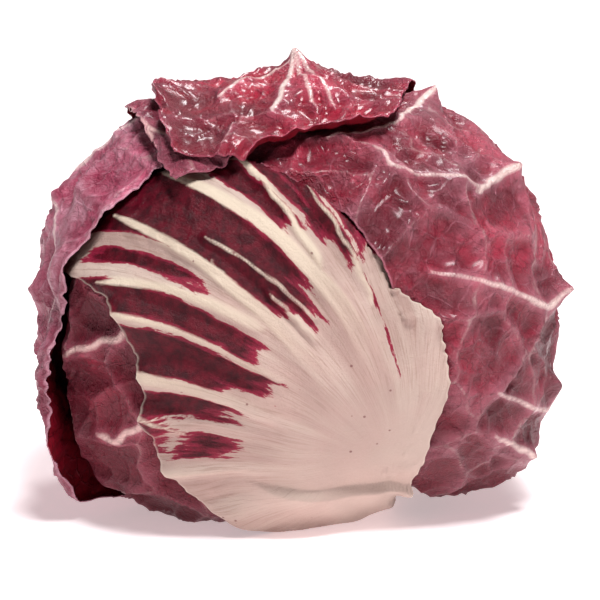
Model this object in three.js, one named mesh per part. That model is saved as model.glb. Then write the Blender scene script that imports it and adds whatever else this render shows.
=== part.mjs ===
// A head of round red chicory (radicchio), as harvested: a trimmed stem with its leaves wrapped
// over each other into a ball. The head lies on its side: its crown leans to the left front, and its
// stem points down to the right back.
//
// Every leaf is a thin closed shell bent over the head, laid from the heart outwards, so that each
// one rests on the leaves below it and keeps a small gap to them. A place on a leaf is given by two
// angles seen from the head's centre: "along", from the stem along the leaf's midrib, and "across",
// square to the midrib. The head stands on +Z with its front facing -Y. Millimetres throughout.
import * as THREE from "three";

// The head: half sizes from its centre, the flat that its weight presses under it, its squareness, and
// the hollow round the stem, as a share of the size and out to an angle from the stem.
const HALF_WIDTH = 65.5;
const HALF_DEPTH = 58;
const HALF_HEIGHT = 55;
const FLAT_BELOW_CENTRE = 52;
const REST_BELOW_CENTRE = 50.3; // the surface that the head rests on
const SQUARENESS = 2.2;
const STEM_HOLLOW = 0.12;
const STEM_HOLLOW_ANGLE = 40;
const CROWN = new THREE.Vector3(-0.42, -0.15, 0.895).normalize();
const FRONT = new THREE.Vector3(0, -1, 0);

// The leaves. A leaf rests on whatever was laid within REACH of it, in radians round the centre.
const LEAF_BASE = 15.5; // degrees along, where every leaf leaves the stem
const OUTER_THICKNESS = 1.1;
const INNER_THICKNESS = 1.5;
const LEAF_GAP = 0.8;
const REACH = 0.36;
const SETTLE_PASSES = 8;
const GOLDEN_ANGLE = 137.5;

const BURGUNDY = 0x6e2a3f;
const DEEP_BURGUNDY = 0x4c1528;
const CREAM = 0xe2cdbb;

// Outer leaves in the order they are laid, with angles in degrees. "round" is the midrib's angle round
// the stem, from the front to the right, and "bend" how far it has swung across by the tip. "left" and
// "right" are half widths across, at equal steps from base to tip. "fullness" is the least share of the
// head's outline that the leaf lies at, and "flare" lifts one margin clear of the head, over a stretch.
const OUTER_LEAVES = [
  { name: "under_leaf", round: -95, bend: 0, tip: 120, fullness: 0.88, colour: CREAM,
    left: [14, 28, 36, 40, 40, 36, 22], right: [14, 28, 36, 38, 38, 34, 20] },
  { name: "lower_left_leaf", round: -34, bend: 0, tip: 150, fullness: 0.9, colour: BURGUNDY,
    left: [16, 36, 44, 40, 27, 23, 14], right: [14, 20, 26, 30, 30, 26, 18] },
  { name: "right_leaf", round: 82, bend: 0, tip: 186, fullness: 0.94, colour: BURGUNDY,
    left: [54, 56, 58, 58, 56, 50, 42.5, 32.5, 18], right: [16, 40, 56, 66, 70, 69, 62, 47, 24] },
  { name: "front_leaf", round: -12, bend: 0, tip: 160, fullness: 0.94, colour: CREAM,
    left: [11, 18, 27, 32, 31, 26, 25, 38.5, 34], right: [7, 7, 17, 34.5, 42, 39.5, 31, 17, 6] },
  { name: "left_leaf", round: -100, bend: 0, tip: 183, fullness: 0.97, colour: BURGUNDY,
    left: [14, 34, 48, 57, 60, 56, 46, 34, 18], right: [14, 25, 33, 37, 38.5, 37, 34, 30, 18],
    flare: { side: 1, from: 45, to: 112, height: 10 } },
  { name: "crown_leaf", round: -172, bend: 8, tip: 216, fullness: 0.97, colour: BURGUNDY,
    left: [9, 18, 32, 36, 32, 22, 8], right: [9, 14, 30, 36, 32, 22, 8] },
  { name: "cap_leaf", round: 150, bend: -14, tip: 209, fullness: 0.97, colour: BURGUNDY,
    left: [10, 22, 42, 50, 48, 45, 44, 38, 8], right: [10, 22, 38, 45, 41, 36, 29, 21, 8] },
];
const OUTER_ACROSS = 10; // mesh steps over a leaf
const OUTER_ALONG = 14;
const FLARE_FROM = 0.35; // share of the half width where a flare begins

// Heart leaves, each turned by the golden angle from the last.
const HEART_LEAVES = 8;
const HEART_TIP = 196;
const HEART_OUTLINE = [15, 42, 60, 66, 60, 44, 24];
const HEART_FROM = 0.46; // share of the head's outline at the innermost heart leaf
const HEART_TO = 0.76;
const HEART_ACROSS = 9;
const HEART_ALONG = 11;

// The innermost bud, and the stem that carries every leaf.
const BUD_SHARE = 0.42; // of the ball
const BUD_AROUND = 20;
const BUD_ALONG = 12;
const STEM_CUT = 49; // from the head's centre to the trimmed face
const STEM_CUT_RADIUS = 13;
const STEM_NECK = 29;
const STEM_NECK_RADIUS = 6;
const STEM_SIDES = 20;

const radians = THREE.MathUtils.degToRad;

// Distance from the centre to a squared ellipsoid.
function ball(direction) {
  const sum =
    Math.abs(direction.x / HALF_WIDTH) ** SQUARENESS +
    Math.abs(direction.y / HALF_DEPTH) ** SQUARENESS +
    Math.abs(direction.z / HALF_HEIGHT) ** SQUARENESS;
  return sum ** (-1 / SQUARENESS);
}

// Distance from the centre to the head's skin: the ball with a flat under it and a hollow at the stem.
function outline(direction) {
  const pressed = direction.z < 0 ? FLAT_BELOW_CENTRE / -direction.z : Infinity;
  const cosStem = -direction.dot(CROWN);
  const hollow = STEM_HOLLOW * THREE.MathUtils.smoothstep(cosStem, Math.cos(radians(STEM_HOLLOW_ANGLE)), 1);
  return Math.min(ball(direction), pressed) * (1 - hollow);
}

// Axes of a leaf: down the stem, square to it towards the leaf's midrib, and across the leaf.
function leafAxes(round) {
  const stem = CROWN.clone().negate();
  const front = FRONT.clone().addScaledVector(CROWN, -FRONT.dot(CROWN)).normalize();
  const side = new THREE.Vector3().crossVectors(CROWN, front).normalize();
  const angle = radians(round);
  const midrib = front.clone().multiplyScalar(Math.cos(angle)).addScaledVector(side, Math.sin(angle));
  const across = front.clone().multiplyScalar(-Math.sin(angle)).addScaledVector(side, Math.cos(angle));
  return { stem, midrib, across };
}

// Direction from the head's centre to a place on a leaf, from its two angles in degrees.
function leafDirection(axes, along, across) {
  return axes.stem.clone().multiplyScalar(Math.cos(radians(along)))
    .addScaledVector(axes.midrib, Math.sin(radians(along)))
    .multiplyScalar(Math.cos(radians(across)))
    .addScaledVector(axes.across, Math.sin(radians(across)));
}

// Half width of a leaf at a share of its length, on a smooth curve through the listed widths.
function halfWidth(widths, share) {
  const points = widths.map((width, i) => new THREE.Vector2(i / (widths.length - 1), width));
  return new THREE.SplineCurve(points).getPoint(share).y;
}

// How far a flared margin stands off, for a place given as -1 to 1 across and in degrees along.
function flareHeight(flare, across, along) {
  if (!flare || across * flare.side < 0) return 0;
  const nearMargin = THREE.MathUtils.smoothstep(Math.abs(across), FLARE_FROM, 1);
  const middle = (flare.from + flare.to) / 2;
  const nearMiddle = Math.cos((Math.PI * (along - middle)) / (flare.to - flare.from));
  return flare.height * nearMargin * Math.max(0, nearMiddle);
}

// Outer skin of everything laid so far: directions, each with its fullness, which is its distance
// from the centre as a share of the outline's.
const skin = [];

function addToSkin(direction, distance) {
  skin.push({ direction, fullness: distance / outline(direction) });
}

function fullnessUnder(direction) {
  const cosReach = Math.cos(REACH);
  const near = skin.filter((point) => point.direction.dot(direction) > cosReach);
  return Math.max(0, ...near.map((point) => point.fullness));
}

// Lets a sheet pull itself smooth, without sinking below where it started.
function settle(start) {
  let sheet = start;
  for (let pass = 0; pass < SETTLE_PASSES; pass++) {
    sheet = sheet.map((row, j) => row.map((value, i) => {
      const around = [sheet[j - 1]?.[i], sheet[j + 1]?.[i], row[i - 1], row[i + 1]];
      const known = around.filter((fullness) => fullness !== undefined);
      const mean = known.reduce((total, fullness) => total + fullness, 0) / known.length;
      return Math.max(start[j][i], (value + mean) / 2);
    }));
  }
  return sheet;
}

// Lays one leaf: a thin box whose width runs across the leaf, its height along it and its depth out
// through its thickness, bent over what already lies there.
function layLeaf(leaf) {
  const axes = leafAxes(leaf.round);
  const columns = leaf.stepsAcross;
  const rows = leaf.stepsAlong;
  const placeOf = (i, j) => {
    const across = (2 * i) / columns - 1;
    const share = j / rows;
    const along = THREE.MathUtils.lerp(LEAF_BASE, leaf.tip, share);
    const width = halfWidth(across < 0 ? leaf.left : leaf.right, share);
    const angle = leaf.bend * share ** 2 + across * width;
    return { across, along, direction: leafDirection(axes, along, angle) };
  };
  const places = Array.from({ length: rows + 1 }, (_, j) =>
    Array.from({ length: columns + 1 }, (_, i) => placeOf(i, j)));
  const lowest = places.map((row) => row.map(({ direction }) =>
    Math.max(leaf.fullness, fullnessUnder(direction) + LEAF_GAP / outline(direction))));
  const inner = settle(lowest).map((row, j) => row.map((fullness, i) => {
    const { across, along, direction } = places[j][i];
    return fullness * outline(direction) + flareHeight(leaf.flare, across, along);
  }));

  const geometry = new THREE.BoxGeometry(columns, rows, 1, columns, rows, 1);
  const corners = geometry.getAttribute("position");
  for (let n = 0; n < corners.count; n++) {
    const i = Math.round(corners.getX(n) + columns / 2);
    const j = Math.round(corners.getY(n) + rows / 2);
    const rise = corners.getZ(n) > 0 ? leaf.thickness : 0;
    const point = places[j][i].direction.clone().multiplyScalar(inner[j][i] + rise);
    const pressed = leaf.thickness - rise - REST_BELOW_CENTRE;
    corners.setXYZ(n, point.x, point.y, Math.max(point.z, pressed));
  }
  geometry.computeVertexNormals();
  places.forEach((row, j) => row.forEach(({ direction }, i) =>
    addToSkin(direction, inner[j][i] + leaf.thickness)));
  return named(leaf.name, geometry, leaf.colour);
}

function named(name, geometry, colour) {
  const material = new THREE.MeshStandardMaterial({ color: colour, roughness: 0.45, metalness: 0 });
  const mesh = new THREE.Mesh(geometry, material);
  mesh.name = name;
  return mesh;
}

// The tight bud at the centre, which the heart leaves wrap.
function heartBud() {
  const geometry = new THREE.SphereGeometry(1, BUD_AROUND, BUD_ALONG);
  const corners = geometry.getAttribute("position");
  for (let n = 0; n < corners.count; n++) {
    const direction = new THREE.Vector3().fromBufferAttribute(corners, n).normalize();
    const distance = ball(direction) * BUD_SHARE;
    corners.setXYZ(n, direction.x * distance, direction.y * distance, direction.z * distance);
    addToSkin(direction, distance);
  }
  geometry.computeVertexNormals();
  return named("heart_bud", geometry, DEEP_BURGUNDY);
}

// The trimmed stem, a stub that widens towards its cut face.
function stem() {
  const length = STEM_CUT - STEM_NECK;
  const geometry = new THREE.CylinderGeometry(STEM_NECK_RADIUS, STEM_CUT_RADIUS, length, STEM_SIDES);
  const mesh = named("stem", geometry, CREAM);
  mesh.quaternion.setFromUnitVectors(new THREE.Vector3(0, 1, 0), CROWN);
  mesh.position.copy(CROWN).multiplyScalar(-(STEM_CUT + STEM_NECK) / 2);
  return mesh;
}

const heartLeaves = Array.from({ length: HEART_LEAVES }, (_, i) => ({
  name: `heart_leaf_${i + 1}`,
  round: i * GOLDEN_ANGLE,
  bend: 0,
  tip: HEART_TIP,
  left: HEART_OUTLINE,
  right: HEART_OUTLINE,
  fullness: THREE.MathUtils.lerp(HEART_FROM, HEART_TO, i / (HEART_LEAVES - 1)),
  colour: DEEP_BURGUNDY,
  thickness: INNER_THICKNESS,
  stepsAcross: HEART_ACROSS,
  stepsAlong: HEART_ALONG,
}));
const outerLeaves = OUTER_LEAVES.map((leaf) => ({
  ...leaf,
  thickness: OUTER_THICKNESS,
  stepsAcross: OUTER_ACROSS,
  stepsAlong: OUTER_ALONG,
}));

const head = new THREE.Group();
head.add(stem(), heartBud());
for (const leaf of [...heartLeaves, ...outerLeaves]) head.add(layLeaf(leaf));

// The part's origin is under the middle of the head, on the surface that it rests on.
const box = new THREE.Box3().setFromObject(head, true);
head.position.set(-(box.min.x + box.max.x) / 2, -(box.min.y + box.max.y) / 2, -box.min.z);

const radicchio = new THREE.Group();
radicchio.add(head);

export default radicchio;
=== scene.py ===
# %% [markdown]
# # A head of radicchio
#
# A radicchio head is a ball of leaves. Every leaf grows from one stem and wraps over the younger
# leaves inside it, so the whole form comes from laying thin sheets over each other. This lesson lays
# them from the inside out: each leaf starts as a flat grid, is bent over whatever already lies there,
# gets its veins and crumples, and then a thickness. The materials are made just before the leaves.

# %% The frame
import math
import random
import bmesh
import bpy
import numpy as np
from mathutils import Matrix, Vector, noise
from mathutils.bvhtree import BVHTree


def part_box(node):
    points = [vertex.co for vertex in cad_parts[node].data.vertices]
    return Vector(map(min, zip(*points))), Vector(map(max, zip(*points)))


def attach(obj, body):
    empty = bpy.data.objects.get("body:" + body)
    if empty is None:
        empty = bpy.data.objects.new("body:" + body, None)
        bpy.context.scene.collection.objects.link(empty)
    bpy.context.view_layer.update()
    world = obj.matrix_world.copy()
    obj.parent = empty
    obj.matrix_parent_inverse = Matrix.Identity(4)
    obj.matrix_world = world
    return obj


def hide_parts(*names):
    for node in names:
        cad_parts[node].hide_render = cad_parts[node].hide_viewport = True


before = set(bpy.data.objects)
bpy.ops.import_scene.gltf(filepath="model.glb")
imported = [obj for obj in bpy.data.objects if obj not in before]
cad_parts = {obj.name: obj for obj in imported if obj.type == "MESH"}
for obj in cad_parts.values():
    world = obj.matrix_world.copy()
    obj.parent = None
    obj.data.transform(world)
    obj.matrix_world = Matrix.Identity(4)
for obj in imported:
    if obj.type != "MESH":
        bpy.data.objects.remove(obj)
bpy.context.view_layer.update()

print("frame nodes:", len(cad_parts))

# %% [markdown]
# ## The shape of the head
#
# The ball is a squared ellipsoid: a little fuller at its corners than an egg. It has a flat where its
# weight presses on the table and a hollow round the stem. The solids of the frame are built on this
# same outline. The innermost bud is centred on the ball, so its box gives the head's centre.
# Lengths in this file are millimetres until a mesh is made, because that is how a leaf is measured.

# %% Outline of the head
MM = 0.001
HALF_SIZES = np.array([65.5, 58.0, 55.0])
SQUARENESS = 2.2
FLAT_BELOW_CENTRE = 52.0
REST_BELOW_CENTRE = 50.3
STEM_HOLLOW = 0.12
STEM_HOLLOW_ANGLE = 40.0
CROWN = np.array([-0.42, -0.15, 0.895]) / np.linalg.norm([-0.42, -0.15, 0.895])
FRONT = np.array([0.0, -1.0, 0.0])
LEAF_RADIUS = 60.0

bud_low, bud_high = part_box("heart_bud")
CENTRE = (np.array(bud_low) + np.array(bud_high)) / 2 / MM


def smoothstep(low, high, value):
    t = np.clip((value - low) / (high - low), 0.0, 1.0)
    return t * t * (3 - 2 * t)


def outline(directions):
    """Distance from the centre to the head's skin along each direction."""
    ball = (np.abs(directions / HALF_SIZES) ** SQUARENESS).sum(-1) ** (-1 / SQUARENESS)
    down = np.maximum(-directions[..., 2], 1e-6)
    pressed = np.where(directions[..., 2] < 0, FLAT_BELOW_CENTRE / down, np.inf)
    edge = math.cos(math.radians(STEM_HOLLOW_ANGLE))
    hollow = STEM_HOLLOW * smoothstep(edge, 1.0, -(directions @ CROWN))
    return np.minimum(ball, pressed) * (1 - hollow)


print("head centre, mm:", CENTRE.round(1))

# %% [markdown]
# ## Where a point lies on a leaf
#
# Two angles place a point on a leaf. *Along* runs from the stem over the ball down the leaf's midrib,
# and *across* runs square to the midrib. A leaf's outline is then just its half width on each side at
# equal steps from base to tip, joined by a smooth curve.

# %% Leaf directions and outlines
LEAF_BASE = 15.5


def leaf_axes(round_angle):
    """Unit vectors along the midrib, at its middle, and across it, for a midrib at round_angle."""
    front = FRONT - (FRONT @ CROWN) * CROWN
    front /= np.linalg.norm(front)
    side = np.cross(CROWN, front)
    turn = math.radians(round_angle)
    return math.cos(turn) * front + math.sin(turn) * side, -math.sin(turn) * front + math.cos(turn) * side


def leaf_directions(round_angle, along, across):
    """Unit vectors from the head's centre to places on the leaf whose midrib lies at round_angle."""
    midrib, sideways = leaf_axes(round_angle)
    along = np.radians(np.asarray(along, float))[..., None]
    across = np.radians(np.asarray(across, float))[..., None]
    ahead = np.cos(along) * -CROWN + np.sin(along) * midrib
    return np.cos(across) * ahead + np.sin(across) * sideways


def leaf_places(round_angle, directions):
    """The angles along and across a leaf for directions from the head's centre."""
    midrib, sideways = leaf_axes(round_angle)
    along = np.degrees(np.arctan2(directions @ midrib, -(directions @ CROWN)))
    return (along + 90) % 360 - 90, np.degrees(np.arcsin(np.clip(directions @ sideways, -1, 1)))


def smooth_curve(points, shares):
    """A smooth curve through evenly spaced points, read at shares from 0 to 1."""
    points = np.asarray(points, float)
    place = np.clip(np.asarray(shares, float), 0, 1) * (len(points) - 1)
    k = np.minimum(place.astype(int), len(points) - 2)
    t = (place - k).reshape(place.shape + (1,) * (points.ndim - 1))
    p0, p1 = points[np.maximum(k - 1, 0)], points[k]
    p2, p3 = points[k + 1], points[np.minimum(k + 2, len(points) - 1)]
    bow = 2 * p0 - 5 * p1 + 4 * p2 - p3 + (3 * p1 - p0 - 3 * p2 + p3) * t
    return p1 + 0.5 * t * (p2 - p0 + t * bow)


def perlin(places, size, seed=0.0):
    """Soft noise from -1 to 1 whose lumps are about size millimetres, at rows of 3-D places."""
    flat = (places.reshape(-1, 3) / size + seed).tolist()
    return np.array([noise.noise(p) for p in flat]).reshape(places.shape[:-1])


def cells(places, size, seed=0.0):
    """0 on the edges between cells of about size millimetres, and more towards their middles."""
    flat = (places.reshape(-1, 3) / size + seed).tolist()
    near = [noise.voronoi(p)[0] for p in flat]
    return np.array([d[1] - d[0] for d in near]).reshape(places.shape[:-1])


print("one degree on a leaf, mm:", round(LEAF_RADIUS * math.pi / 180, 2))

# %% [markdown]
# ## Laying a leaf over the others
#
# A cloth simulation could drape the leaves, but real ones grow in place and never slide. Casting rays
# works better: from far outside, one ray per grid point looks for what already lies below. The sheet
# then takes the highest of those heights near each point, and relaxes between them like damp leather.
# Heights are kept as a share of the head's outline, so that a sheet follows the ball where nothing
# else holds it up.

# %% Draping helpers
LEAF_GAP = 0.55
FAR_OUT = 0.2
RIM_DEGREES = 10
laid = {}


def skin_tree(mesh, keep=None):
    """A search tree of a laid leaf's faces; keep is true for each vertex that still counts."""
    bm = bmesh.new()
    bm.from_mesh(mesh)
    if keep is not None:
        bm.verts.ensure_lookup_table()
        dropped = [bm.verts[i] for i in np.flatnonzero(~keep)]
        bmesh.ops.delete(bm, geom=dropped, context="VERTS")
    tree = BVHTree.FromBMesh(bm)
    bm.free()
    return tree


def height_below(directions, trees):
    """Distance from the centre to the outermost laid skin along each direction, or 0 for none."""
    centre = Vector(CENTRE * MM)
    found = np.zeros(directions.shape[:-1]).ravel()
    for n, direction in enumerate(directions.reshape(-1, 3)):
        ray = Vector(direction)
        start = centre + ray * FAR_OUT
        for tree in trees:
            place = tree.ray_cast(start, -ray, FAR_OUT)[3]
            if place is not None:
                found[n] = max(found[n], (FAR_OUT - place) / MM)
    return found.reshape(directions.shape[:-1])


def neighbours(sheet):
    padded = np.pad(sheet, 1, mode="edge")
    rows, columns = sheet.shape
    return [padded[j:j + rows, i:i + columns] for j in range(3) for i in range(3)]


def spread(sheet, steps):
    """Carries each height to its neighbours, steps cells wide."""
    for _ in range(steps):
        sheet = np.maximum.reduce(neighbours(sheet))
    return sheet


def relax(sheet, passes, floor=None):
    """Smooths a sheet, without letting it sink below floor."""
    for _ in range(passes):
        sheet = sum(neighbours(sheet)) / 9
        if floor is not None:
            sheet = np.maximum(sheet, floor)
    return sheet


def pressed_by(leaves, directions):
    """How many of these leaves will lie over each direction, counted up softly in from their rims."""
    count = np.zeros(directions.shape[:-1])
    for leaf in leaves:
        along, across = leaf_places(leaf["round"], directions)
        share = (along - LEAF_BASE) / (leaf["tip"] - LEAF_BASE)
        offset = across - leaf.get("bend", 0) * share * share
        half = np.where(offset < 0, smooth_curve(leaf["left"], share), smooth_curve(leaf["right"], share))
        inside_rim = np.minimum(half - np.abs(offset), leaf["tip"] - along)
        inside_rim = np.minimum(inside_rim, along - LEAF_BASE)
        count += smoothstep(0, RIM_DEGREES, inside_rim)
    return count


print("gap between leaves, mm:", LEAF_GAP)

# %% [markdown]
# ## Veins and crumples
#
# A leaf hangs from its veins like a tent from its poles: each vein is a crest, and the blade sags
# between them. Veins are short lists of places on the leaf, joined by smooth curves. The finer net
# would be hundreds of lines, so it comes from cells instead: the edges between cells are its veins.

# %% Veins
VEIN_STEPS = 260


def vein_points(leaf, vein):
    """Points along one vein with its half width at each, as directions and millimetres."""
    shares = np.linspace(0, 1, VEIN_STEPS)
    track = smooth_curve(vein["path"], shares)
    wander = 0.35 * np.sin(shares * 23 + len(vein["path"]))
    directions = leaf_directions(leaf["round"], track[:, 0] + wander, track[:, 1] - wander)
    taper = np.minimum(1, np.minimum(shares, 1 - shares) / 0.12)
    return directions, np.interp(shares, [0, 1], vein["width"]) * (0.2 + 0.8 * taper)


def vein_gap(leaf, directions, veins):
    """Distance in millimetres from each place to the nearest vein's side; negative on the vein."""
    flat = directions.reshape(-1, 3)
    gap = np.full(len(flat), 30.0)
    for vein in veins:
        track, half = vein_points(leaf, vein)
        close = flat @ track.T
        nearest = close.argmax(1)
        apart = LEAF_RADIUS * np.sqrt(np.maximum(2 - 2 * close[np.arange(len(flat)), nearest], 0))
        gap = np.minimum(gap, apart - half[nearest])
    return gap.reshape(directions.shape[:-1])


def grown_veins(leaf, seed):
    """A midrib with side veins that lean towards the tip and fork once, for a leaf not seen closely."""
    rng = random.Random(seed)
    base, tip, bend = LEAF_BASE, leaf["tip"], leaf.get("bend", 0)
    veins = [{"path": [(base + (tip - base) * s, bend * s * s) for s in (0, 0.3, 0.6, 0.93)],
              "width": (2.4, 0.5)}]
    for k in range(leaf.get("side_veins", 12)):
        share = 0.12 + 0.68 * k / 12 + rng.uniform(-0.02, 0.02)
        side = 1 if k % 2 else -1
        widths = leaf["right"] if side > 0 else leaf["left"]
        reach = 0.92 * float(smooth_curve(np.array(widths), share + 0.12))
        start = base + (tip - base) * share
        lean = rng.uniform(14, 26)
        middle = bend * share * share
        fork = (start + 0.6 * lean, middle + side * reach * 0.5)
        veins.append({"path": [(start, middle), (start + 0.3 * lean, middle + side * reach * 0.24), fork,
                               (start + lean, middle + side * reach)], "width": (0.8, 0.25)})
        veins.append({"path": [fork, (fork[0] + 0.8 * lean, fork[1] + side * reach * 0.1),
                               (fork[0] + 1.3 * lean, fork[1] + side * reach * 0.28)],
                      "width": (0.45, 0.2)})
    return veins


print("steps along each vein:", VEIN_STEPS)

# %% [markdown]
# ## One leaf
#
# `create_grid` gives the flat blade. Its width becomes *across* and its length *along*, and one
# assignment moves every vertex to its place over the head. What the colours will need is stored on
# the vertices as attributes: the distances to the nearest vein and to the rim, the height of the
# relief, and the net.

# %% Building a leaf
BLADE = 0.75
# Shares of the outline that a leaf sinks under each leaf above it, and at its own rim.
LAYER_SHARE, HUG_SHARE = 0.03, 0.05
SPREAD_STEPS, TAUT_PASSES, SOFT_PASSES = 3, 60, 4
RIM_WIDTH = 12.0
THIN_RIM_WIDTH = 6.0
THIN_RIM_SHARE = 0.35
# Heights in millimetres of a dark blade's crests. Any crest rises by HELD_HEIGHT at most above
# FREE_HEIGHT.
TENT, PANEL, CREASE, FOLD = 2.0, 2.6, 1.1, 1.6
RELIEF_MIDDLE = 2.3
FREE_HEIGHT, HELD_HEIGHT = 1.2, 1.6
PRESSED_FLAT = 0.8


def placed(name, data):
    """A new object in the scene that holds this mesh, lamp or camera."""
    made = bpy.data.objects.new(name, data)
    bpy.context.scene.collection.objects.link(made)
    return made


def mesh_from(name, bm):
    """A smoothly shaded mesh with what bm holds; bm is freed."""
    mesh = bpy.data.meshes.new(name)
    bm.to_mesh(mesh)
    bm.free()
    mesh.polygons.foreach_set("use_smooth", np.ones(len(mesh.polygons), bool))
    return mesh


def grid_mesh(name, columns, rows):
    """A flat grid, and the number of the vertex at each of its rows and columns."""
    bm = bmesh.new()
    bmesh.ops.create_grid(bm, x_segments=columns, y_segments=rows, size=1.0, calc_uvs=True)
    mesh = mesh_from(name, bm)
    flat = np.zeros(len(mesh.vertices) * 3)
    mesh.vertices.foreach_get("co", flat)
    x, y = flat.reshape(-1, 3)[:, 0], flat.reshape(-1, 3)[:, 1]
    number = np.lexsort((x.round(5), y.round(5)))
    across_count = int((np.abs(y - y.min()) < 1e-5).sum())
    return mesh, number.reshape(-1, across_count)


def store(mesh, number, name, values):
    """Writes one number per grid point as a named attribute."""
    flat = np.zeros(len(mesh.vertices))
    flat[number.ravel()] = values.ravel()
    mesh.attributes.new(name, "FLOAT", "POINT").data.foreach_set("value", flat)


def lay_out(leaf, u, v):
    """Angles along and across for grid shares u, from -1 to 1, and v, from 0 to 1."""
    along = LEAF_BASE + (leaf["tip"] - LEAF_BASE) * v
    left, right = smooth_curve(leaf["left"], v), smooth_curve(leaf["right"], v)
    places = leaf_directions(leaf["round"], along, np.zeros_like(along) + 30 * np.sign(u)) * LEAF_RADIUS
    ragged = leaf.get("ragged", 0.5) * (perlin(places, 7.0, 3.1) + 0.5 * perlin(places, 2.2, 9.7))
    teeth = leaf.get("teeth", 0.0) * np.abs(np.sin(along * 0.95 + 2 * perlin(places, 16.0, 5.2)))
    half = np.where(u < 0, left, right) + ragged - teeth
    return along, leaf.get("bend", 0) * v * v + u * half, half


def lifted(leaf, along, across, u):
    """How far the sheet stands off: each lift is a bump, and each roll turns up a stretch of rim."""
    height = np.zeros_like(along)
    for lift in leaf.get("lifts", ()):
        far = (((along - lift["along"]) / lift["size"]) ** 2
               + ((across - lift["across"]) / lift["size"]) ** 2)
        height += lift["height"] * (np.exp(-1.7 * np.sqrt(far)) if lift["sharp"] else np.exp(-far))
    for roll in leaf.get("rolls", ()):
        near_rim = smoothstep(roll["start"], 1.0, u * roll["side"])
        window = smoothstep(roll["from"] - 12, roll["from"] + 6, along) * (
            1 - smoothstep(roll["to"] - 6, roll["to"] + 12, along))
        height += roll["height"] * near_rim * window
    return height


def blade_relief(leaf, places, gap):
    """Height of veins, sagging panels and crumples on a burgundy blade."""
    warped = places + 4.0 * np.stack([perlin(places, 12.0, s) for s in (1.3, 4.6, 8.1)], -1)
    net = cells(warped, leaf.get("panel", 18.0), 2.0)
    fine = cells(warped, 7.0, 7.0)
    crumple = leaf.get("crumple", 1.0)
    tents = TENT * np.exp(-np.maximum(gap, 0) / 2.0)
    panels = PANEL * crumple * np.exp(-net / 0.22)
    creases = CREASE * crumple * np.exp(-fine / 0.2)
    folds = FOLD * crumple * np.exp(-9 * np.abs(perlin(warped, 26.0, 3.3)))
    waves = crumple * (0.9 * perlin(places, 24.0, 6.0) + 0.35 * perlin(places, 8.0, 2.5))
    return tents + panels + creases + folds + waves, net, fine


def build_leaf(name, leaf, trees, relief, columns=140, rows=230, over=(), lid=None):
    """Lays one leaf over the skins in trees, pressed by the leaves in over and below the skin lid."""
    mesh, number = grid_mesh(name, columns, rows)
    row_count, column_count = number.shape
    v, u = np.meshgrid(np.linspace(0, 1, row_count), np.linspace(-1, 1, column_count), indexing="ij")
    along, across, half = lay_out(leaf, u, v)
    directions = leaf_directions(leaf["round"], along, across)
    skin = outline(directions)
    below = (height_below(directions, trees) + LEAF_GAP) / skin
    rim = LEAF_RADIUS * np.radians(half * (1 - np.abs(u)))
    rim = np.minimum(rim, LEAF_RADIUS * np.radians(leaf["tip"] - along))
    pressed = pressed_by(over, directions)
    loose = leaf["fullness"] - LAYER_SHARE * pressed
    hug = HUG_SHARE * (1 - smoothstep(0, RIM_WIDTH, rim))
    floor = np.maximum(spread(below, SPREAD_STEPS), loose - hug)
    share = relax(relax(floor, TAUT_PASSES, floor), SOFT_PASSES)
    places = directions * LEAF_RADIUS
    veins = leaf["veins"] if "veins" in leaf else grown_veins(leaf, name)
    gap = vein_gap(leaf, directions, veins)
    height, extra = relief(leaf, places, gap, along, across)
    extra["crest"] = height
    too_high = np.maximum(height - FREE_HEIGHT, 0)
    height = height - too_high + too_high / (1 + too_high / HELD_HEIGHT) + lifted(leaf, along, across, u)
    height *= 1 - PRESSED_FLAT * np.minimum(pressed, 1)
    distance = BLADE + np.maximum(share * skin + height, spread(below, 1) * skin)
    if lid is not None:
        above = height_below(directions, [lid])
        limit = -spread(-np.where(above > 0, above - BLADE - LEAF_GAP, 99.0), 1)
        distance = np.minimum(distance, limit)
    points = CENTRE + directions * distance[..., None]
    lowest = CENTRE[2] - REST_BELOW_CENTRE + (BLADE + LEAF_GAP) * pressed
    points[..., 2] = np.maximum(points[..., 2], lowest)
    flat = np.zeros((row_count * column_count, 3))
    flat[number.ravel()] = points.reshape(-1, 3) * MM
    mesh.vertices.foreach_set("co", flat.ravel())
    for key, values in {"vein": gap, "rim": rim, **extra}.items():
        store(mesh, number, key, values)
    mesh.update()
    laid[name] = {"mesh": mesh, "number": number, "along": along}
    return mesh


def finish_leaf(name, mesh, materials, replaced):
    """Gives the blade its thickness, thinner at the rim, attaches it to the root body and hides the node
    replaced.
    """
    leaf = placed(name, mesh)
    for material in materials:
        mesh.materials.append(material)
    rim = np.zeros(len(mesh.vertices))
    mesh.attributes["rim"].data.foreach_get("value", rim)
    thickness = leaf.vertex_groups.new(name="blade")
    weights = THIN_RIM_SHARE + (1 - THIN_RIM_SHARE) * smoothstep(0.0, THIN_RIM_WIDTH, rim)
    for n, weight in enumerate(weights):
        thickness.add([n], float(weight), "REPLACE")
    solidify = leaf.modifiers.new("Blade", "SOLIDIFY")
    solidify.thickness = BLADE * MM
    solidify.offset = -1.0
    solidify.vertex_group = "blade"
    solidify.material_offset = len(materials) - 1
    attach(leaf, "root")
    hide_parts(replaced)


print("blade thickness, mm:", BLADE)

# %% [markdown]
# ## The cream leaf's fan
#
# The leaf at the front shows its base, where the veins open like a fan from one point. Between the
# outer ends of the veins the blade is dark, in streaks that stop in feathered ends. So this leaf has
# coordinates of its own: the *reach* from the fan's centre, and the *turn* round it. The veins lean as
# they run out, and the turn has that lean taken off, which makes every vein and streak nearly straight.

# %% Fan coordinates, veins and streaks
FAN_CENTRE = (54.0, 14.0)
FAN_LEAN = 0.42
FAN_EDGE = 100.0
FAN_DEGREE = LEAF_RADIUS * math.pi / 180

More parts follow.
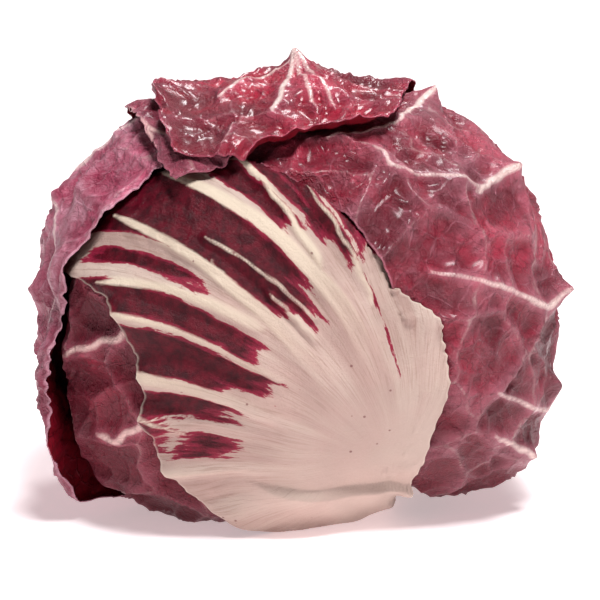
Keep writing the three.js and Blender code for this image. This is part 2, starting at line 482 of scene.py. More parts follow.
# Reach and angle of each vein's outer end, the same of its inner end, and its half widths there.
FAN_VEINS = [
    (100, -13, 20, 26, 1.1, 2.2), (97, -21, 24, 2, 0.8, 1.8), (86, -28, 53, -10, 0.6, 0.9),
    (98, -3, 62, 8, 0.45, 0.8), (84, 7, 50, 20, 0.3, 0.4), (78, -11, 50, 3, 0.25, 0.4),
    (60, -5, 45, 1, 0.25, 0.3), (73, -12, 60, -10, 0.2, 0.3), (79, -30, 40, -15, 0.35, 0.5),
    (69, -38, 20, -21, 1.2, 1.4), (62, -44, 50, -46, 0.35, 0.4), (56, -60, 30, -52, 0.3, 0.5),
]
# Turn of each streak's two sides, and the reach where it starts and ends.
FAN_STREAKS = [
    (-75, -66.5, 40, 51), (-73, -61.5, 54, 80), (-61, -55, 43, 95), (-51, -46, 48, 95),
    (-48, -40.5, 40, 100), (-39, -33, 49, 100), (-30.5, -27.5, 68, 95), (-25, -18.5, 53, 110),
    (-20.5, -15.5, 50, 110), (-17.5, -12.8, 56, 110), (-9.6, -5.2, 74, 120), (-4.2, -1.6, 68, 120),
    (-2.2, 0.6, 61, 120), (1.4, 6.5, 65, 105), (-0.4, 0.4, 30, 62),
]


def fan_place(along, across):
    """Reach from the fan's centre, and the turn round it with the veins' lean taken off."""
    ahead, aside = along - FAN_CENTRE[0], across - FAN_CENTRE[1]
    reach = np.hypot(ahead, aside)
    return reach, np.degrees(np.arctan2(aside, ahead)) - FAN_LEAN * (FAN_EDGE - reach)


def fan_vein(outer, outer_angle, inner, inner_angle, outer_half, inner_half):
    """A rib from its outer end in to its inner end, in steps of a third."""
    path = []
    for share in (0, 0.33, 0.67, 1):
        reach = outer + (inner - outer) * share
        angle = math.radians(outer_angle + (inner_angle - outer_angle) * share)
        path.append((FAN_CENTRE[0] + reach * math.cos(angle), FAN_CENTRE[1] + reach * math.sin(angle)))
    return {"path": path, "width": (outer_half, inner_half)}


def streak_depth(reach, turn):
    """How deep a place lies inside a dark streak, in millimetres; the feathered ends count a fifth."""
    wide = np.maximum(reach, 5) * FAN_DEGREE * math.pi / 180
    depth = np.full(reach.shape, -3.0)
    for low, high, start, end in FAN_STREAKS:
        side = np.minimum(turn - low, high - turn) * wide
        ends = np.minimum(reach - start, end - reach) * FAN_DEGREE / 5
        depth = np.maximum(depth, np.minimum(side, ends))
    return np.clip(depth, -3, 3)


def fan_relief(leaf, places, gap, along, across):
    """Ribs that spread from the base, valleys and wrinkles between them, and a turned lip."""
    reach, turn = fan_place(along, across)
    fanned = np.stack([turn * 0.9, reach * 0.16, np.zeros_like(turn)], -1)
    ribs = 2.0 * np.exp(-np.maximum(gap, 0) / 1.8) * smoothstep(20, 60, reach)
    folds = 2.2 * perlin(fanned, 6.5, 1.7) * smoothstep(25, 55, reach)
    folds *= 1 - 0.5 * smoothstep(60, 90, reach)
    wrinkles = 0.28 * perlin(fanned, 1.6, 4.4) * smoothstep(35, 60, reach)
    beyond_fold = (along - 65) * 0.737 + (across + 8) * 0.675
    lip = 3.8 * (1 - smoothstep(-0.5, 0.8, beyond_fold)) * (1 - smoothstep(60, 74, along))
    lip *= smoothstep(-30, -16, across)
    waves = 0.8 * perlin(places, 24.0, 3.0) + 0.3 * perlin(places, 9.0, 5.5)
    crumpled = smoothstep(62, 85, reach) * 0.9 * (1 - np.minimum(cells(places, 6.0, 5.0) / 0.6, 1))
    extra = {"streak": streak_depth(reach, turn), "reach": reach, "turn": turn}
    return ribs + folds + wrinkles + waves + lip + crumpled * 0.6 - 0.6, extra


def burgundy_relief(leaf, places, gap, along, across):
    """The crumpled relief of a dark leaf, lowered so that its middle lies near zero."""
    height, net, fine = blade_relief(leaf, places, gap)
    return height - RELIEF_MIDDLE, {"net": net, "fine": fine}


print("fan veins and streaks:", len(FAN_VEINS), len(FAN_STREAKS))

# %% [markdown]
# ## Colours
#
# Every leaf colour is layered the way a leaf is: a mottled ground, a pale bloom of wax over it, then
# the veins, the net and the rim. The ground and bloom read Object coordinates, and the veins read the
# attributes stored on the blade. Effects that several leaves share are node groups.

# %% Node helpers


def colour(text):
    """A linear colour from a six-figure hex code."""
    values = [int(text[n:n + 2], 16) / 255 for n in (0, 2, 4)]
    return tuple(c / 12.92 if c <= 0.04045 else ((c + 0.055) / 1.055) ** 2.4 for c in values) + (1.0,)


def put(tree, kind, settings=None, **inputs):
    """Adds a node. Inputs are links or values, named as its sockets, with _ for a space, or n0, n1."""
    node = tree.nodes.new(kind)
    for key, value in (settings or {}).items():
        setattr(node, key, value)
    for key, value in inputs.items():
        numbered = key[0] == "n" and key[1:].isdigit()
        socket = node.inputs[int(key[1:]) if numbered else key.replace("_", " ")]
        if isinstance(value, bpy.types.NodeSocket):
            tree.links.new(value, socket)
        else:
            socket.default_value = value
    return node


def maths(tree, operation, a, b, clamp=False):
    settings = {"operation": operation, "use_clamp": clamp}
    return put(tree, "ShaderNodeMath", settings, n0=a, n1=b).outputs[0]


def times(tree, a, b):
    return maths(tree, "MULTIPLY", a, b)


def plus(tree, a, b):
    return maths(tree, "ADD", a, b)


def ramp(tree, value, low, high):
    """A smooth step from 0 at low to 1 at high."""
    node = put(tree, "ShaderNodeMapRange", {"interpolation_type": "SMOOTHSTEP"}, Value=value,
               From_Min=low, From_Max=high)
    return node.outputs["Result"]


def blend(tree, share, a, b):
    node = put(tree, "ShaderNodeMix", {"data_type": "RGBA"}, n0=share)
    for socket, value in ((node.inputs[6], a), (node.inputs[7], b)):
        if isinstance(value, bpy.types.NodeSocket):
            tree.links.new(value, socket)
        else:
            socket.default_value = value
    return node.outputs[2]


def fade(tree, value, low, high):
    """A smooth step from 1 at low to 0 at high."""
    return maths(tree, "SUBTRACT", 1.0, ramp(tree, value, low, high))


def tint(tree, ground, mask, strength, tone):
    """Lays a tone, a hex code, over the ground where mask is, at the given strength."""
    return blend(tree, times(tree, mask, strength), ground, colour(tone))


def fractal(tree, vector, scale, detail, roughness=0.5):
    """A layered noise texture."""
    return put(tree, "ShaderNodeTexNoise", None, Vector=vector, Scale=scale, Detail=detail,
               Roughness=roughness).outputs


def attribute(tree, name):
    return put(tree, "ShaderNodeAttribute", {"attribute_name": name}).outputs["Fac"]


def group(name, inputs, outputs):
    """A shader node group with named sockets; returns it with its input and output nodes."""
    tree = bpy.data.node_groups.new(name, "ShaderNodeTree")
    for socket, kind in inputs:
        tree.interface.new_socket(socket, in_out="INPUT", socket_type="NodeSocket" + kind)
    for socket in outputs:
        tree.interface.new_socket(socket, in_out="OUTPUT", socket_type="NodeSocketFloat")
    return tree, tree.nodes.new("NodeGroupInput").outputs, tree.nodes.new("NodeGroupOutput").inputs


def use(tree, shared, **inputs):
    return put(tree, "ShaderNodeGroup", {"node_tree": shared}, **inputs).outputs


def new_material(name):
    material = bpy.data.materials.new(name)
    material.use_nodes = True
    tree = material.node_tree
    place = put(tree, "ShaderNodeTexCoord").outputs["Object"]
    return material, tree, tree.nodes["Principled BSDF"].inputs, place


def set_roughness(tree, shader, mask, swing, least):
    """Roughness from least upwards, by swing where mask is full."""
    tree.links.new(plus(tree, times(tree, mask, swing), least), shader["Roughness"])


def set_bump(tree, shader, height, strength, distance):
    bump = put(tree, "ShaderNodeBump", None, Height=height, Strength=strength, Distance=distance)
    tree.links.new(bump.outputs[0], shader["Normal"])


print("mid grey in linear light:", round(colour("808080")[0], 3))

# %% Shared effects


def mottle_group():
    """Blotches in two sizes, as pigment gathers in a leaf."""
    tree, given, made = group("leaf mottle", [("Vector", "Vector"), ("Size", "Float")], ["Broad", "Fine"])
    scale = maths(tree, "DIVIDE", 1.0, given["Size"])
    broad = fractal(tree, given["Vector"], scale, 4.0, 0.6)[0]
    fine = fractal(tree, given["Vector"], times(tree, scale, 7.0), 6.0, 0.65)[0]
    tree.links.new(ramp(tree, broad, 0.35, 0.65), made["Broad"])
    tree.links.new(ramp(tree, fine, 0.3, 0.7), made["Fine"])
    return tree


def net_group():
    """Thin branching lines round small cells, as the finest veins run."""
    sockets = [("Vector", "Vector"), ("Size", "Float"), ("Line", "Float")]
    tree, given, made = group("fine vein net", sockets, ["Lines"])
    scale = maths(tree, "DIVIDE", 1.0, given["Size"])
    place = given["Vector"]
    wander = fractal(tree, place, scale, 3.0)["Color"]
    drift = put(tree, "ShaderNodeVectorMath", {"operation": "SCALE"}, n0=wander, Scale=0.004).outputs[0]
    moved = put(tree, "ShaderNodeVectorMath", {"operation": "ADD"}, n0=place, n1=drift).outputs[0]
    edges = put(tree, "ShaderNodeTexVoronoi", {"feature": "DISTANCE_TO_EDGE"}, Vector=moved, Scale=scale)
    width = maths(tree, "DIVIDE", edges.outputs["Distance"], given["Line"])
    tree.links.new(fade(tree, width, 0.0, 1.0), made["Lines"])
    return tree


def ragged_group():
    """Turns a signed distance into a mask whose edge wanders by some millimetres."""
    sockets = [("Distance", "Float"), ("Vector", "Vector"), ("Scale", "Float"), ("Wander", "Float"),
               ("Soft", "Float")]
    tree, given, made = group("ragged edge", sockets, ["Inside"])
    shape = fractal(tree, given["Vector"], given["Scale"], 5.0, 0.7)[0]
    centred = maths(tree, "SUBTRACT", shape, 0.5)
    edge = plus(tree, given["Distance"], times(tree, centred, given["Wander"]))
    share = maths(tree, "ADD", maths(tree, "DIVIDE", edge, given["Soft"]), 0.5, clamp=True)
    tree.links.new(share, made["Inside"])
    return tree


MOTTLE, NET, RAGGED = mottle_group(), net_group(), ragged_group()
print("shared effects:", [g.name for g in bpy.data.node_groups])

# %% [markdown]
# ### Burgundy leaves
#
# Red chicory is burgundy under a faint lavender bloom. The same recipe serves every dark leaf: only
# the four tints, the gloss and how much bloom there is change from one leaf to the next. All of them
# are darkened towards the table, where little light reaches the head.

# %% Burgundy blades


def burgundy(name, deep, mid, bloom, pale, bloom_share, roughness, coat):
    material, tree, shader, place = new_material(name + " leaf blade")
    broad = use(tree, MOTTLE, Vector=place, Size=0.022)
    small = use(tree, MOTTLE, Vector=place, Size=0.005)
    net = use(tree, NET, Vector=place, Size=0.0042, Line=0.05)["Lines"]
    wide_net = use(tree, NET, Vector=place, Size=0.011, Line=0.03)["Lines"]
    wide_net = times(tree, wide_net, broad["Fine"])
    ground = blend(tree, broad["Broad"], colour(deep), colour(mid))
    ground = tint(tree, ground, small["Fine"], 0.35, deep)
    wax = times(tree, times(tree, broad["Fine"], small["Broad"]), bloom_share)
    ground = blend(tree, wax, ground, colour(bloom))
    ground = tint(tree, ground, net, 0.4, deep)
    ground = tint(tree, ground, wide_net, 0.35, bloom)
    height_above = put(tree, "ShaderNodeSeparateXYZ", None, Vector=place).outputs["Z"]
    shaded = fade(tree, height_above, 0.005, 0.075)
    ground = tint(tree, ground, shaded, 0.85, deep)
    # Painted shade: the hollows of the relief are darkened towards the deep tint.
    hollow = fade(tree, attribute(tree, "crest"), -2.2, -0.2)
    ground = tint(tree, ground, hollow, 0.6, deep)
    # Painted highlight: the crests of the relief are lightened towards the bloom.
    crest = ramp(tree, attribute(tree, "crest"), -0.4, 1.6)
    ground = tint(tree, ground, crest, 0.22, bloom)
    crease_colour = tuple(0.55 * a + 0.45 * b for a, b in zip(colour(deep), colour(pale)))
    crease = fade(tree, attribute(tree, "net"), 0.0, 0.03)
    crease = times(tree, crease, broad["Fine"])
    ground = blend(tree, times(tree, crease, 0.6), ground, crease_colour)
    line = fade(tree, attribute(tree, "fine"), 0.02, 0.1)
    line = times(tree, line, broad["Fine"])
    ground = tint(tree, ground, line, 0.75, deep)
    depth = maths(tree, "SUBTRACT", 0.12, attribute(tree, "vein"))
    vein = use(tree, RAGGED, Distance=depth, Vector=place, Scale=300.0, Wander=0.9, Soft=0.7)["Inside"]
    halo = fade(tree, attribute(tree, "vein"), 0.0, 1.8)
    ground = tint(tree, ground, halo, 0.18, bloom)
    ground = tint(tree, ground, vein, 0.8, pale)
    rim = fade(tree, attribute(tree, "rim"), 0.1, 0.9)
    ground = tint(tree, ground, rim, 0.45, bloom)
    tree.links.new(ground, shader["Base Color"])
    set_roughness(tree, shader, small["Fine"], 0.18, roughness - 0.09)
    shader["Coat Weight"].default_value = coat
    shader["Coat Roughness"].default_value = 0.2
    shader["Specular IOR Level"].default_value = 0.34
    shader["Sheen Weight"].default_value = 0.04
    shader["Sheen Roughness"].default_value = 0.45
    shader["Sheen Tint"].default_value = colour("d9b8cc")
    height = times(tree, net, 0.3)
    for mask, share in ((small["Fine"], 0.3), (broad["Fine"], 0.8), (wide_net, 0.5)):
        height = plus(tree, height, times(tree, mask, share))
    set_bump(tree, shader, height, 0.8, 0.0008)
    return material


# Name, the deep, middle, bloom and vein tints, the share of bloom, the roughness and the coat.
DARK_LEAVES = [
    ("right", "5a061a", "ac203e", "d88a9c", "f8e0d8", 0.26, 0.36, 0.2),
    # The left leaf is paler and more lavender than the rest: partly its own bloom, partly painted light
    # for a side the lamps light less.
    ("left", "801a3a", "c85878", "e0b0c0", "f4d8d4", 0.45, 0.4, 0.12),
    ("lower", "5c081c", "b42444", "cc7084", "f0ccc4", 0.2, 0.36, 0.15),
    ("crown", "540a20", "9c2640", "bc6c80", "e8c0ba", 0.24, 0.32, 0.2),
    ("cap", "62061c", "b41838", "c8627a", "fae6de", 0.12, 0.32, 0.4),
    ("heart", "300818", "551530", "7c4058", "cfa0a0", 0.3, 0.42, 0.12),
]
blades = {leaf[0]: burgundy(*leaf) for leaf in DARK_LEAVES}


def blade_inside():
    """The inner face of a dark leaf, a clear wine red without bloom."""
    material, tree, shader, place = new_material("leaf inside")
    small = use(tree, MOTTLE, Vector=place, Size=0.006)
    net = use(tree, NET, Vector=place, Size=0.005, Line=0.06)["Lines"]
    ground = blend(tree, small["Fine"], colour("5c0212"), colour("7d0a1e"))
    ground = tint(tree, ground, net, 0.4, "3a0210")
    tree.links.new(ground, shader["Base Color"])
    set_roughness(tree, shader, small["Fine"], 0.15, 0.35)
    set_bump(tree, shader, net, 0.4, 0.0003)
    return material


inside = blade_inside()
print("dark blades:", [blade.name for blade in blades.values()], "and", inside.name)

# %% [markdown]
# ### The cream leaf
#
# Its ground is cream, pink and grey in long soft stripes that follow the fan. The dark streaks are a
# mask with a ragged edge; stretching the noise along the reach is what draws the feathers out.

# %% Cream blade


def fan_vector(tree, stretch):
    """Fan coordinates as a vector, squeezed along the reach so that noise runs in stripes."""
    reach = times(tree, attribute(tree, "reach"), stretch)
    return put(tree, "ShaderNodeCombineXYZ", None, X=attribute(tree, "turn"), Y=reach).outputs[0]


def cream_blade():
    material, tree, shader, place = new_material("cream leaf blade")
    stripes = fan_vector(tree, 0.12)
    feather = fan_vector(tree, 0.22)
    long_stripes = use(tree, MOTTLE, Vector=stripes, Size=8.0)
    soft = use(tree, MOTTLE, Vector=place, Size=0.018)
    small = use(tree, MOTTLE, Vector=place, Size=0.004)
    from_base = ramp(tree, attribute(tree, "reach"), 8.0, 40.0)
    bands = times(tree, long_stripes["Broad"], from_base)
    ground = blend(tree, bands, colour("c6b4a8"), colour("b0968c"))
    # Painted shade: the hollows of the relief are darkened towards a grey pink.
    hollow = fade(tree, attribute(tree, "crest"), -2.0, 0.4)
    ground = tint(tree, ground, hollow, 0.5, "8c6e66")
    spread_out = ramp(tree, attribute(tree, "reach"), 22.0, 70.0)
    thin_stripes = times(tree, long_stripes["Fine"], spread_out)
    ground = tint(tree, ground, thin_stripes, 0.4, "a68c86")
    ground = tint(tree, ground, soft["Broad"], 0.3, "c0a098")
    threads = use(tree, MOTTLE, Vector=fan_vector(tree, 0.05), Size=4.0)["Fine"]
    threads = times(tree, fade(tree, threads, 0.1, 0.45), from_base)
    ground = tint(tree, ground, threads, 0.45, "927468")
    on_rib = fade(tree, attribute(tree, "vein"), -0.4, 1.2)
    on_rib = times(tree, on_rib, ramp(tree, attribute(tree, "reach"), 30.0, 75.0))
    ground = tint(tree, ground, on_rib, 0.7, "d6c8b2")
    depth = attribute(tree, "streak")
    edge = {"Vector": feather, "Scale": 0.42, "Wander": 4.6}
    streak = use(tree, RAGGED, Distance=depth, Soft=0.2, **edge)["Inside"]
    flush = use(tree, RAGGED, Distance=maths(tree, "SUBTRACT", depth, 0.1), Soft=1.8, **edge)["Inside"]
    dark = blend(tree, soft["Fine"], colour("30000b"), colour("5c061b"))
    dark = blend(tree, flush, colour("b02a4c"), dark)
    off_rib = attribute(tree, "vein")
    bare = use(tree, RAGGED, Distance=off_rib, Vector=feather, Scale=0.7, Wander=1.6, Soft=0.6)["Inside"]
    ground = blend(tree, times(tree, streak, bare), ground, dark)
    specks = put(tree, "ShaderNodeTexVoronoi", {"feature": "F1"}, Vector=place, Scale=330.0)
    lot = put(tree, "ShaderNodeSeparateColor", None, Color=specks.outputs["Color"]).outputs[0]
    chosen = ramp(tree, lot, 0.9, 0.92)
    dot = fade(tree, specks.outputs["Distance"], 0.08, 0.14)
    ground = tint(tree, ground, times(tree, dot, chosen), 0.7, "6a3338")
    rim = fade(tree, attribute(tree, "rim"), 0.1, 0.8)
    ground = tint(tree, ground, rim, 0.3, "eadccc")
    tree.links.new(ground, shader["Base Color"])
    set_roughness(tree, shader, small["Fine"], 0.14, 0.36)
    shader["Specular IOR Level"].default_value = 0.2
    height = plus(tree, times(tree, thin_stripes, 0.8), small["Fine"])
    set_bump(tree, shader, height, 0.45, 0.0003)
    return material


cream = cream_blade()
print("cream blade nodes:", len(cream.node_tree.nodes))

# %% [markdown]
# ## The heart
#
# Eight leaves wrap a tight bud, each turned by the golden angle from the last, as leaves on a stem
# grow. They barely show, so their grids are coarse.

# %% Heart bud and heart leaves
GOLDEN_ANGLE = 137.5
HEART_LEAVES = 8
HEART_TIP = 196
HEART_OUTLINE = [15, 42, 60, 66, 60, 44, 24]
HEART_FROM, HEART_TO = 0.46, 0.76
BUD_SHARE = 0.42


def heart_bud():
    """A crumpled ball of folded leaf tips."""
    bm = bmesh.new()
    bmesh.ops.create_icosphere(bm, subdivisions=5, radius=1.0)
    for vertex in bm.verts:
        direction = np.array(vertex.co.normalized())
        net = cells((direction * 26)[None], 9.0)[0]
        size = BUD_SHARE * outline(direction) - 1.2 - 1.6 * (0.5 - min(net, 0.5))
        vertex.co = Vector((CENTRE + direction * size) * MM)
    mesh = mesh_from("heart_bud_folds", bm)
    number = np.arange(len(mesh.vertices))
    for key, value in (("vein", 9.0), ("rim", 9.0), ("net", 1.0), ("fine", 1.0), ("crest", 0.0)):
        store(mesh, number, key, np.full(len(number), value))
    mesh.materials.append(blades["heart"])
    bud = placed("heart_bud_folds", mesh)
    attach(bud, "root")
    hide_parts("heart_bud")
    return mesh


skins = [skin_tree(heart_bud())]
for n in range(HEART_LEAVES):
    share = n / (HEART_LEAVES - 1)
    leaf = {"round": n * GOLDEN_ANGLE, "tip": HEART_TIP, "left": HEART_OUTLINE, "right": HEART_OUTLINE,
            "fullness": HEART_FROM + (HEART_TO - HEART_FROM) * share, "crumple": 0.5, "side_veins": 8}
    name = f"heart_leaf_{n + 1}"
    mesh = build_leaf(name + "_blade", leaf, skins, burgundy_relief, columns=56, rows=70)
    finish_leaf(name + "_blade", mesh, [blades["heart"]], name)
    skins.append(skin_tree(mesh))
print("heart leaves laid:", HEART_LEAVES)

# %% [markdown]
# ## The outer leaves
#
# These are laid in the order that they overlap. Each entry starts from its solid's outline in the
# frame, with some sides wider or narrower. It adds the veins that show, the lifts that raise a crest
# where veins meet, and the rolls of loose margins.

# %% Outer leaves


def bump(along, across, height, size=6, sharp=True):
    """A lift: a sharp peak where veins meet, or a soft swelling."""
    return {"along": along, "across": across, "size": size, "height": height, "sharp": sharp}


def traced(start, end, *path):
    """A vein through places on the leaf, with its half width in millimetres at both ends."""
    return {"path": list(path), "width": (start, end)}


OUTER_LEAVES = {
    "under_leaf": {
        "round": -95, "tip": 120, "fullness": 0.88,
        "left": [14, 28, 36, 40, 40, 36, 22], "right": [14, 28, 36, 38, 38, 34, 20]},
    "lower_left_leaf": {
        "round": -34, "tip": 150, "fullness": 0.98, "ragged": 0.7,
        "left": [16, 36, 44, 45, 39, 32, 18], "right": [14, 20, 26, 30, 30, 26, 18],
        "lifts": [bump(113, -14, 2.2), bump(93, -15, 2.2), bump(88, -36, 6.0, 20, False),
                  bump(62, -22, 4.0, 16, False)],
        "veins": [traced(0.3, 0.8, (112, -25), (113, -14), (114, -5), (118, 6)),
                  traced(0.3, 0.8, (94, -21), (92, -15), (95, -7), (100, 4))]},
    "right_leaf": {
        "round": 82, "tip": 186, "fullness": 0.94, "panel": 19.0,
        "left": [54, 56, 58, 58, 56, 50, 42.5, 32.5, 18], "right": [16, 40, 56, 66, 70, 69, 62, 47, 24],
        "lifts": [bump(124, 10, 5.0), bump(102, -7, 4.5), bump(74, -13, 5.0), bump(53, -16, 4.0),
                  bump(64, -12, 2.0), bump(131, -20, 2.2), bump(88, -34, 2.4), bump(112, -24, 2.2),
                  bump(38, -22, 2.5, 5), bump(44, -36, 2.0, 5), bump(24, -17, 9.0, 16, False),
                  bump(44, -26, 2.5, 16, False)],
        "rolls": [{"side": -1, "start": 0.72, "from": 124, "to": 186, "height": 1.4}],
        "veins": [traced(0.6, 0.12, (74, -13), (73, -20), (80, -28), (87, -35), (95, -41), (103, -46)),
                  traced(0.8, 0.4, (102, -7), (105, -16), (106.5, -22)),
                  traced(0.3, 0.12, (106, -20), (118, -26), (128, -29), (135, -25)),
                  traced(0.5, 0.3, (38, -22), (41, -30), (44, -37)),
                  traced(0.7, 0.3, (124, 10), (128, -2), (131, -13)),
                  traced(0.4, 0.2, (131, -13), (138, -19), (147, -24)),
                  traced(0.4, 0.2, (51, -14), (47, -18), (52, -30), (57, -39))]},
    "front_leaf": {
        "round": -12, "tip": 160, "fullness": 0.94, "ragged": 0.35, "teeth": 0.45,
        "left": [11, 15, 17, 27.5, 31, 26, 25, 38.5, 34],
        "right": [7, 9, 21, 37.5, 43.5, 38.5, 45, 42, 22],
        "lifts": [bump(62, -8, 1.5, 14, False), bump(70, -22, 1.5, 14, False)],
        "veins": [fan_vein(*vein) for vein in FAN_VEINS]},
    "left_leaf": {
        "round": -100, "tip": 183, "fullness": 0.97, "ragged": 0.9, "teeth": 0.6,
        "left": [14, 34, 48, 57, 60, 56, 46, 34, 18], "right": [12, 14, 19, 34, 38.5, 37, 34, 30, 18],
        "lifts": [bump(141, 8, 4.0), bump(132, 8, 3.0), bump(121, 15, 3.5), bump(107, 18, 4.0),
                  bump(150, 16, 2.5)],
        "rolls": [{"side": 1, "start": 0.45, "from": 78, "to": 112, "height": 5.5}],
        "veins": [traced(0.5, 0.2, (140, 8), (134, 25), (118, 30)),
                  traced(1.4, 0.5, (20, 0), (70, -4), (120, -3), (165, 0))]},
    "crown_leaf": {
        "round": -172, "bend": 8, "tip": 213, "fullness": 0.97,
        "ragged": 1.3, "teeth": 0.5, "crumple": 1.5, "panel": 12.0,
        "left": [9, 18, 32, 36, 32, 22, 8], "right": [9, 14, 20, 18, 14, 10, 8],
        "lifts": [bump(196, -4, 3.0, 8), bump(201, 10, 4.5, 5), bump(208, 1, 3.5, 4),
                  bump(186, 12, 3.5, 5)],
        "veins": [traced(0.4, 0.2, (169, 16), (189, 15), (206, 9)),
                  traced(0.5, 0.3, (165, 17), (200, 15)),
                  traced(1.6, 0.5, (20, 0), (70, 1), (120, 3), (180, 6))]},
    "cap_leaf": {
        "round": 150, "bend": -14, "tip": 209, "fullness": 0.97,
        "ragged": 0.8, "teeth": 0.4, "crumple": 1.15,
        "left": [10, 22, 34, 34, 30, 31, 38, 37, 8], "right": [10, 22, 38, 43, 38, 34, 28, 19, 8],
        "lifts": [bump(157, -13, 6.0, 12), bump(176, 10, 3.0, 7), bump(172, -26, 2.5, 8),
                  bump(186, 6, 3.5, 6)],
        "rolls": [{"side": -1, "start": 0.86, "from": 172, "to": 205, "height": 3.2}],
        "veins": [traced(0.35, 0.6, (155, -12), (174, -20), (191, -23)),
                  traced(0.25, 0.2, (155, -12), (172, -24), (183, -31)),
                  traced(0.25, 0.2, (155, -13), (170, -27), (180, -35)),
                  traced(0.4, 0.2, (160, -14), (170, -8), (184, -6)),
                  traced(1.6, 0.8, (20, 0), (60, -1), (100, -4), (150, -10))]},
}


def lay(name, trees, relief, material, columns=140, rows=230, lid=None):
    """Lays one outer leaf over the skins in trees and returns its own skin.

    The leaves laid later press on it, but the front leaf doesn't press on the right one, because it
    lies under part of it.
    """
    leaf = OUTER_LEAVES[name]
    order = list(OUTER_LEAVES)
    over = [OUTER_LEAVES[other] for other in order[order.index(name) + 1:]
            if (name, other) != ("right_leaf", "front_leaf")]
    mesh = build_leaf(name + "_blade", leaf, trees, relief, columns, rows, over, lid)
    finish_leaf(name + "_blade", mesh, [material, inside], name)
    return skin_tree(mesh)


def lay_dark(name, blade, columns=140, rows=230):
    skins.append(lay(name, skins, burgundy_relief, blades[blade], columns, rows))


def part_of(name, low, high):
    """The skin of a laid leaf between two angles along it."""
    leaf = laid[name + "_blade"]
    keep = np.zeros(len(leaf["mesh"].vertices), bool)
    keep[leaf["number"].ravel()] = ((leaf["along"] > low) & (leaf["along"] < high)).ravel()
    return skin_tree(leaf["mesh"], keep)


def under_relief(leaf, places, gap, along, across):
    """The old cream leaf below: soft ribs only, and dark only towards its tip."""
    ribs = 0.8 * np.exp(-np.maximum(gap, 0) / 2.4)
    dark = np.clip((along - 108) / 4, -3, 3)
    return ribs + 0.5 * perlin(places, 14.0, 2.0) - 0.4, {"streak": dark, "reach": along, "turn": across}


skins.append(lay("under_leaf", skins, under_relief, cream))
lay_dark("lower_left_leaf", "lower")
before_right = list(skins)
lay_dark("right_leaf", "right", 200, 220)
# The front leaf lies over the right leaf below the place where their margins cross, and under it above.
CROSSING = 107
below_front = before_right + [part_of("right_leaf", 0, CROSSING)]
over_front = part_of("right_leaf", CROSSING, 200)
skins.append(lay("front_leaf", below_front, fan_relief, cream, 185, 252, over_front))
lay_dark("left_leaf", "left")
lay_dark("crown_leaf", "crown")
lay_dark("cap_leaf", "cap")
print("outer leaves laid:", list(OUTER_LEAVES))

# %% [markdown]
# ## The stem
#
# The head is cut from its root with one knife stroke. The cut face dries brown, and the neck above it
# stays cream. A cone gives both: its rims are beveled, every face is divided, and noise dents the
# sides where older leaves were pulled away.

# %% Stem
STEM_CUT, STEM_CUT_RADIUS = 49.0, 13.0
STEM_NECK, STEM_NECK_RADIUS = 29.0, 6.0


def stem_material():
    material, tree, shader, place = new_material("stem flesh")
    broad = use(tree, MOTTLE, Vector=place, Size=0.008)
    small = use(tree, MOTTLE, Vector=place, Size=0.002)
    cut = attribute(tree, "cut")
    ground = blend(tree, broad["Broad"], colour("e8dcc4"), colour("d8c6a6"))
    brown = blend(tree, small["Fine"], colour("a5713f"), colour("6f4424"))
    ground = blend(tree, times(tree, cut, 0.75), ground, brown)
    tree.links.new(ground, shader["Base Color"])
    set_roughness(tree, shader, small["Fine"], 0.2, 0.5)
    set_bump(tree, shader, small["Fine"], 0.6, 0.0005)
    return material


def stem_cut():
    bm = bmesh.new()
    length = STEM_CUT - STEM_NECK
    bmesh.ops.create_cone(bm, cap_ends=True, cap_tris=False, segments=72, radius1=STEM_CUT_RADIUS - 0.6,
                          radius2=STEM_NECK_RADIUS, depth=length)
    rims = [e for e in bm.edges if abs(e.verts[0].co.z - e.verts[1].co.z) < 1e-4]
    bmesh.ops.bevel(bm, geom=rims, offset=1.0, segments=4, profile=0.5, affect="EDGES")
    bmesh.ops.triangulate(bm, faces=[f for f in bm.faces if len(f.verts) > 4])
    bmesh.ops.subdivide_edges(bm, edges=bm.edges[:], cuts=3, use_grid_fill=True)
    up = Vector(CROWN)
    turn = up.to_track_quat("Z", "Y").to_matrix()
    cut_share = []
    for vertex in bm.verts:
        place = vertex.co.copy()
        cut_share.append(float(smoothstep(0.4, 0.05, place.z + length / 2)))
        dent = 0.4 * noise.noise(place / 3.0) + 0.5 * noise.noise(place / 7.0)
        radial = Vector((place.x, place.y, 0))
        if radial.length > 1e-6:
            place += radial.normalized() * dent
        place.z -= STEM_NECK + length / 2
        vertex.co = (Vector(CENTRE) + turn @ place) * MM
    mesh = mesh_from("stem_cut", bm)
    mesh.attributes.new("cut", "FLOAT", "POINT").data.foreach_set("value", cut_share)
    mesh.materials.append(stem_material())
    stem = placed("stem_cut", mesh)
    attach(stem, "root")
    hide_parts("stem")


stem_cut()
print("stem length, mm:", STEM_CUT - STEM_NECK)

# %% [markdown]
# ## Floor, light and camera
#
# A white table in a white room: a soft lamp above makes the shadow under the head, and a smaller one
# behind draws the highlights on the glossy top leaf. The table glows a little near the head and more
# far from it, so that it stays white behind the head.

# %% Floor, lamps and camera


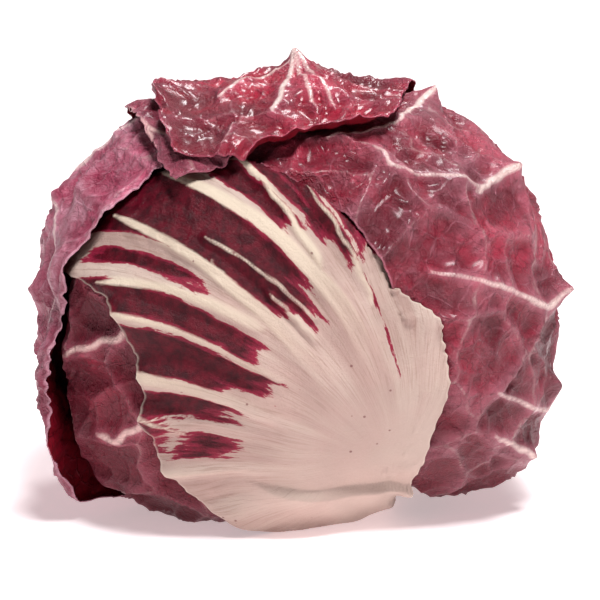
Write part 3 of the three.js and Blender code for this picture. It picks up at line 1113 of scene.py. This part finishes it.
def studio_floor():
    bm = bmesh.new()
    bmesh.ops.create_grid(bm, x_segments=1, y_segments=1, size=3.0)
    mesh = mesh_from("studio_floor", bm)
    material, tree, shader, place = new_material("pale table")
    grain = use(tree, MOTTLE, Vector=place, Size=0.4)
    tree.links.new(blend(tree, grain["Broad"], colour("faf2f3"), colour("f7eef0")), shader["Base Color"])
    shader["Roughness"].default_value = 0.7
    # Painted light: the table glows, dimmer and pinker near the head where the head's shade and red
    # bounce fall, and whiter far off.
    away = put(tree, "ShaderNodeVectorMath", {"operation": "LENGTH"}, n0=place).outputs["Value"]
    glow = blend(tree, ramp(tree, away, 0.25, 1.3), (0.47, 0.39, 0.4, 1.0), (0.85, 0.84, 0.84, 1.0))
    tree.links.new(glow, shader["Emission Color"])
    shader["Emission Strength"].default_value = 1.0
    mesh.materials.append(material)
    floor = placed("studio_floor", mesh)


def lamp(name, place, aim, size, power):
    data = bpy.data.lights.new(name, "AREA")
    data.shape = "SQUARE"
    data.size = size
    data.energy = power
    light = placed(name, data)
    light.location = place
    light.rotation_euler = (Vector(aim) - Vector(place)).to_track_quat("-Z", "Y").to_euler()


studio_floor()
middle = Vector(CENTRE * MM)
lamp("top lamp", (0.15, -0.4, 1.0), middle, 0.3, 15.0)
lamp("back lamp", (0.15, 0.5, 0.85), middle, 0.2, 4.0)
world = bpy.data.worlds.new("white room")
world.use_nodes = True
world.node_tree.nodes["Background"].inputs["Color"].default_value = (1.0, 1.0, 1.0, 1.0)
world.node_tree.nodes["Background"].inputs["Strength"].default_value = 0.14
bpy.context.scene.world = world
bpy.context.scene.view_settings.view_transform = "Standard"

ELEVATION = math.radians(12)
CAMERA_AWAY = 0.7
LENS_LENGTH, SENSOR_WIDTH = 168, 36
ahead = Vector((0, math.cos(ELEVATION), -math.sin(ELEVATION)))
up = Vector((0, math.sin(ELEVATION), math.cos(ELEVATION)))
aim = middle - Vector((0.001, 0, 0)) - up * 0.001
lens = bpy.data.cameras.new("camera")
lens.lens = LENS_LENGTH
lens.sensor_width = SENSOR_WIDTH
camera = placed("camera", lens)
camera.location = aim - ahead * CAMERA_AWAY
camera.rotation_euler = (math.radians(90) - ELEVATION, 0, 0)
bpy.context.scene.camera = camera
print("camera to the head's middle, m:", CAMERA_AWAY)
